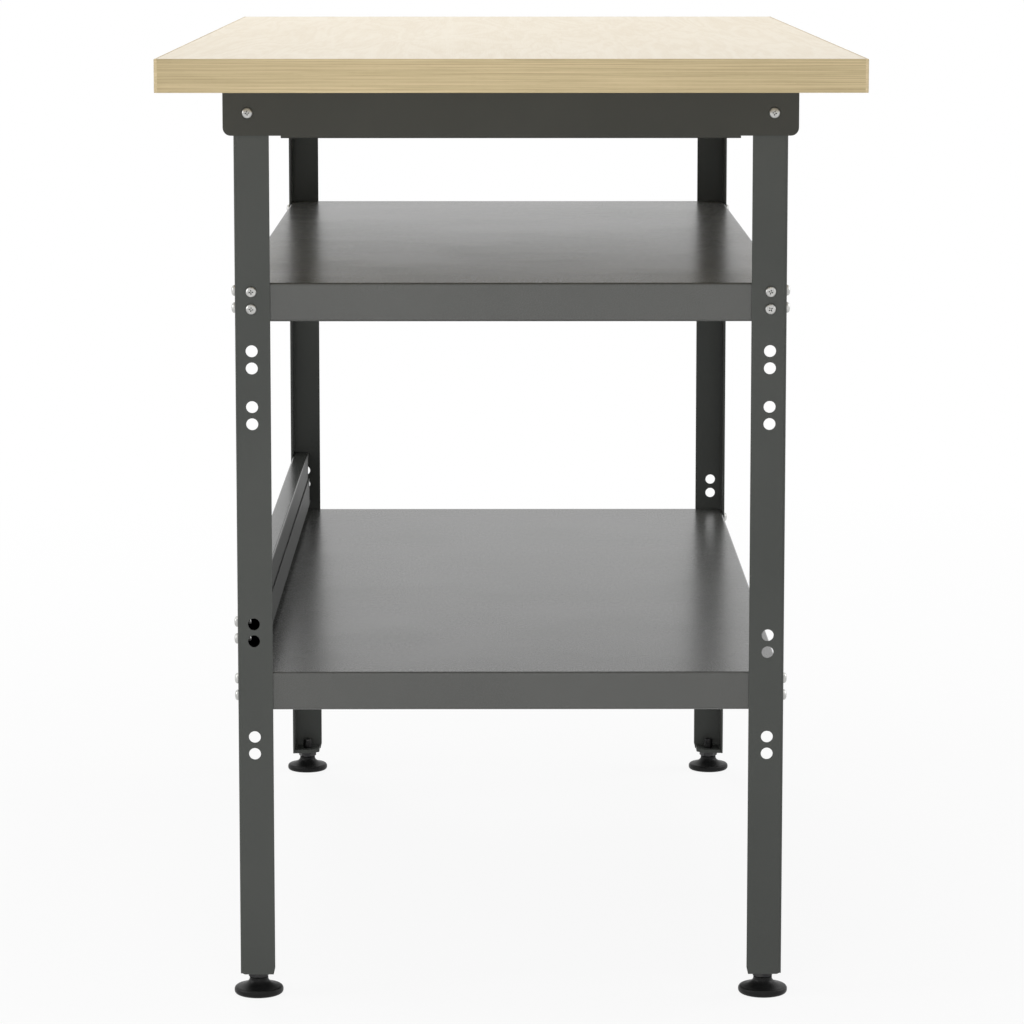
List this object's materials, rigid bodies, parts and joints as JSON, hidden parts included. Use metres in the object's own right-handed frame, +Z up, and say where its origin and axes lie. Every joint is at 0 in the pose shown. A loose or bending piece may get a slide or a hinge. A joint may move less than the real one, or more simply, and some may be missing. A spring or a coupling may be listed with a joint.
{
  "type": "workbench",
  "caption": "Workbench with a flat wood top on folded steel angle legs, two steel tray shelves, a rear brace and screw-adjustable levelling feet.",
  "frame": {"origin": "on the floor, below the middle of the top", "axes": "+X along the length of the top, +Y towards the rear, where the brace is, and +Z up; the front faces -Y"},
  "size_m": [1.2, 0.6, 0.843],
  "materials": {
    "pale_wood": "lacquered pale wood, satin",
    "grey_paint": "dark grey powder coat, satin",
    "grey_shelf_paint": "grey powder coat, semi-gloss",
    "zinc": "bright zinc plate",
    "black_steel": "blackened steel, slightly shiny",
    "black_plastic": "moulded black plastic, satin"
  },
  "bodies": {
    "bench": {"top_board": "pale_wood", "left_end_rail": "grey_paint", "right_end_rail": "grey_paint", "front_rail": "grey_paint", "rear_rail": "grey_paint", "front_left_leg": "grey_paint", "front_right_leg": "grey_paint", "rear_left_leg": "grey_paint", "rear_right_leg": "grey_paint", "upper_shelf": "grey_shelf_paint", "lower_shelf": "grey_shelf_paint", "rear_brace": "grey_paint", "front_left_end_rail_bolt": "zinc", "front_left_long_rail_bolt": "zinc", "front_left_upper_shelf_end_bolt_low": "zinc", "front_left_upper_shelf_end_bolt_high": "zinc", "front_left_upper_shelf_side_bolt_low": "zinc", "front_left_upper_shelf_side_bolt_high": "zinc", "front_left_lower_shelf_bolt_low": "zinc", "front_left_lower_shelf_bolt_high": "zinc", "front_right_end_rail_bolt": "zinc", "front_right_long_rail_bolt": "zinc", "front_right_upper_shelf_end_bolt_low": "zinc", "front_right_upper_shelf_end_bolt_high": "zinc", "front_right_upper_shelf_side_bolt_low": "zinc", "front_right_upper_shelf_side_bolt_high": "zinc", "front_right_lower_shelf_bolt_low": "zinc", "front_right_lower_shelf_bolt_high": "zinc", "rear_left_end_rail_bolt": "zinc", "rear_left_long_rail_bolt": "zinc", "rear_left_upper_shelf_end_bolt_low": "zinc", "rear_left_upper_shelf_end_bolt_high": "zinc", "rear_left_upper_shelf_side_bolt_low": "zinc", "rear_left_upper_shelf_side_bolt_high": "zinc", "rear_left_lower_shelf_bolt_low": "zinc", "rear_left_lower_shelf_bolt_high": "zinc", "rear_left_brace_bolt_low": "zinc", "rear_left_brace_bolt_high": "zinc", "rear_right_end_rail_bolt": "zinc", "rear_right_long_rail_bolt": "zinc", "rear_right_upper_shelf_end_bolt_low": "zinc", "rear_right_upper_shelf_end_bolt_high": "zinc", "rear_right_upper_shelf_side_bolt_low": "zinc", "rear_right_upper_shelf_side_bolt_high": "zinc", "rear_right_lower_shelf_bolt_low": "zinc", "rear_right_lower_shelf_bolt_high": "zinc", "rear_right_brace_bolt_low": "zinc", "rear_right_brace_bolt_high": "zinc", "front_left_lock_nut": "black_steel", "front_right_lock_nut": "black_steel", "rear_left_lock_nut": "black_steel", "rear_right_lock_nut": "black_steel"},
    "front_left_pad": {"front_left_foot_pad": "black_plastic"},
    "front_left_stud": {"front_left_foot_stud": "black_steel"},
    "front_right_pad": {"front_right_foot_pad": "black_plastic"},
    "front_right_stud": {"front_right_foot_stud": "black_steel"},
    "rear_left_pad": {"rear_left_foot_pad": "black_plastic"},
    "rear_left_stud": {"rear_left_foot_stud": "black_steel"},
    "rear_right_pad": {"rear_right_foot_pad": "black_plastic"},
    "rear_right_stud": {"rear_right_foot_stud": "black_steel"}
  },
  "joints": [
    {"name": "front_left_foot_height", "type": "slide", "parent": "bench", "child": "front_left_pad", "axis": [0, 0, -1], "range_m": [0, 0.008]},
    {"name": "front_left_stud_turn", "type": "hinge", "parent": "front_left_pad", "child": "front_left_stud", "pos_m": [-0.4615, -0.2265, 0.02], "axis": [0, 0, -1], "range_deg": [0, 1921]},
    {"name": "front_right_foot_height", "type": "slide", "parent": "bench", "child": "front_right_pad", "axis": [0, 0, -1], "range_m": [0, 0.008]},
    {"name": "front_right_stud_turn", "type": "hinge", "parent": "front_right_pad", "child": "front_right_stud", "pos_m": [0.4615, -0.2265, 0.02], "axis": [0, 0, -1], "range_deg": [0, 1921]},
    {"name": "rear_left_foot_height", "type": "slide", "parent": "bench", "child": "rear_left_pad", "axis": [0, 0, -1], "range_m": [0, 0.008]},
    {"name": "rear_left_stud_turn", "type": "hinge", "parent": "rear_left_pad", "child": "rear_left_stud", "pos_m": [-0.4615, 0.2265, 0.02], "axis": [0, 0, -1], "range_deg": [0, 1921]},
    {"name": "rear_right_foot_height", "type": "slide", "parent": "bench", "child": "rear_right_pad", "axis": [0, 0, -1], "range_m": [0, 0.008]},
    {"name": "rear_right_stud_turn", "type": "hinge", "parent": "rear_right_pad", "child": "rear_right_stud", "pos_m": [0.4615, 0.2265, 0.02], "axis": [0, 0, -1], "range_deg": [0, 1921]}
  ],
  "couplings": [
    {"joint": "front_left_stud_turn", "follows": "front_left_foot_height", "rad_per_m": 4188.8},
    {"joint": "front_right_stud_turn", "follows": "front_right_foot_height", "rad_per_m": 4188.8},
    {"joint": "rear_left_stud_turn", "follows": "rear_left_foot_height", "rad_per_m": 4188.8},
    {"joint": "rear_right_stud_turn", "follows": "rear_right_foot_height", "rad_per_m": 4188.8}
  ]
}
